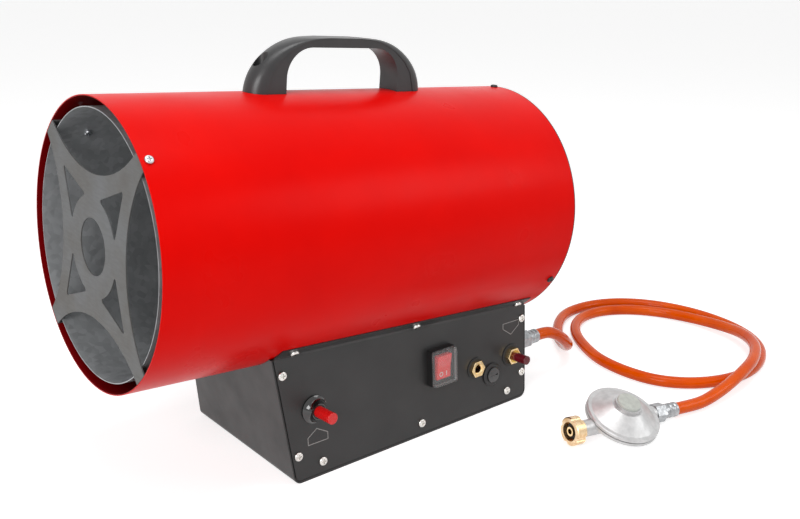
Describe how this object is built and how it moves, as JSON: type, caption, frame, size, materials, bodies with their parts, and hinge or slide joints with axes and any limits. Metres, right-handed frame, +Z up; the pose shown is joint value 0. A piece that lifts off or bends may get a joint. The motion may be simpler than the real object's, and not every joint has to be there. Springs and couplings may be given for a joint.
{
  "type": "forced air heater",
  "caption": "Portable gas fired forced air heater: red barrel with a star grille on a dark base with controls, carry handle, gas hose and regulator.",
  "frame": {"origin": "on the floor under the middle of the barrel", "axes": "+Z up, the hot air outlet faces -X, the control panel faces -Y, the air inlet faces +X"},
  "size_m": [0.8591, 0.3962, 0.4178],
  "materials": {
    "red_paint": "satin",
    "dark_paint": "satin",
    "galvanised": "satin",
    "zinc_screw": "polished",
    "black_screw": "satin",
    "black_plastic": "matte",
    "gloss_black": "gloss",
    "red_plastic": "gloss",
    "dark_red_plastic": "gloss",
    "clear_plastic": "clear",
    "brass": "polished",
    "die_cast": "satin",
    "orange_rubber": "satin",
    "black_rubber": "matte",
    "steel": "satin",
    "copper": "satin",
    "ceramic": "gloss",
    "glass_tube": "clear",
    "grey_plastic": "matte"
  },
  "bodies": {
    "heater": {"outer_casing": "red_paint", "combustion_tube": "galvanised", "tube_spacers": "galvanised", "tube_screws": "zinc_screw", "star_grille": "galvanised", "grille_screws": "zinc_screw", "rear_guard": "dark_paint", "guard_screws": "black_screw", "motor_can": "steel", "motor_end_cap": "steel", "motor_bushes": "brass", "motor_stator": "steel", "motor_windings": "copper", "motor_bolts": "zinc_screw", "burner_plate": "galvanised", "burner_cup": "steel", "gas_nozzle": "brass", "electrode_ceramic": "ceramic", "burner_probes": "steel", "flange_screws": "zinc_screw", "panel_screws": "zinc_screw", "igniter_collar": "gloss_black", "igniter_body": "black_plastic", "button_springs": "steel", "switch_frame": "black_plastic", "switch_hood": "clear_plastic", "panel_washers": "black_rubber", "lead_bushing": "brass", "fuse_holder": "black_plastic", "fuse_link": "glass_tube", "valve_nut": "brass", "gas_valve_body": "brass", "control_panel": "dark_paint", "gas_inlet_fitting": "zinc_screw", "heater_hose_ferrule": "zinc_screw", "cable_gland": "black_plastic", "lock_nuts": "brass", "terminal_block": "ceramic", "base_tray": "dark_paint", "gas_pipe": "copper", "internal_leads": "black_rubber", "handle": "black_plastic", "handle_screws": "zinc_screw", "gas_hose": "orange_rubber", "regulator_body": "die_cast", "regulator_bonnet": "die_cast", "bonnet_cap": "grey_plastic", "regulator_spring": "steel", "outlet_nut": "zinc_screw", "regulator_hose_ferrule": "zinc_screw", "inlet_nipple": "brass", "regulator_seals": "black_rubber"},
    "rotor": {"motor_rotor": "steel", "fan": "galvanised", "fan_clip": "steel"},
    "igniter_button": {"ignition_button": "red_plastic"},
    "valve_button": {"gas_valve_button": "dark_red_plastic"},
    "rocker": {"switch_rocker": "red_plastic"},
    "fuse_carrier": {"fuse_cap": "gloss_black"},
    "hand_nut": {"bottle_nut": "brass"}
  },
  "joints": [
    {"name": "fan_spin", "type": "hinge", "parent": "heater", "child": "rotor", "pos_m": [0.16162, 0, 0.22098], "axis": [0.9977, 0, -0.068], "continuous": true},
    {"name": "ignition_press", "type": "slide", "parent": "heater", "child": "igniter_button", "axis": [0, 0.9973, -0.0732], "range_m": [0, 0.005], "stiffness_N_per_m": 1500, "springref_m": -0.001},
    {"name": "gas_valve_press", "type": "slide", "parent": "heater", "child": "valve_button", "axis": [0, 0.9973, -0.0732], "range_m": [0, 0.006], "stiffness_N_per_m": 1500, "springref_m": -0.001},
    {"name": "switch_rock", "type": "hinge", "parent": "heater", "child": "rocker", "pos_m": [0.0909, -0.09032, 0.07465], "axis": [-1, 0, 0], "range_deg": [0, 12]},
    {"name": "fuse_cap_turn", "type": "hinge", "parent": "heater", "child": "fuse_carrier", "pos_m": [0.1698, -0.09074, 0.0417], "axis": [0, -0.9973, 0.0732], "range_deg": [0, 45]},
    {"name": "hand_nut_turn", "type": "hinge", "parent": "heater", "child": "hand_nut", "pos_m": [0.17555, -0.20973, 0.01826], "axis": [-0.981, 0.186, 0.0558], "continuous": true}
  ]
}
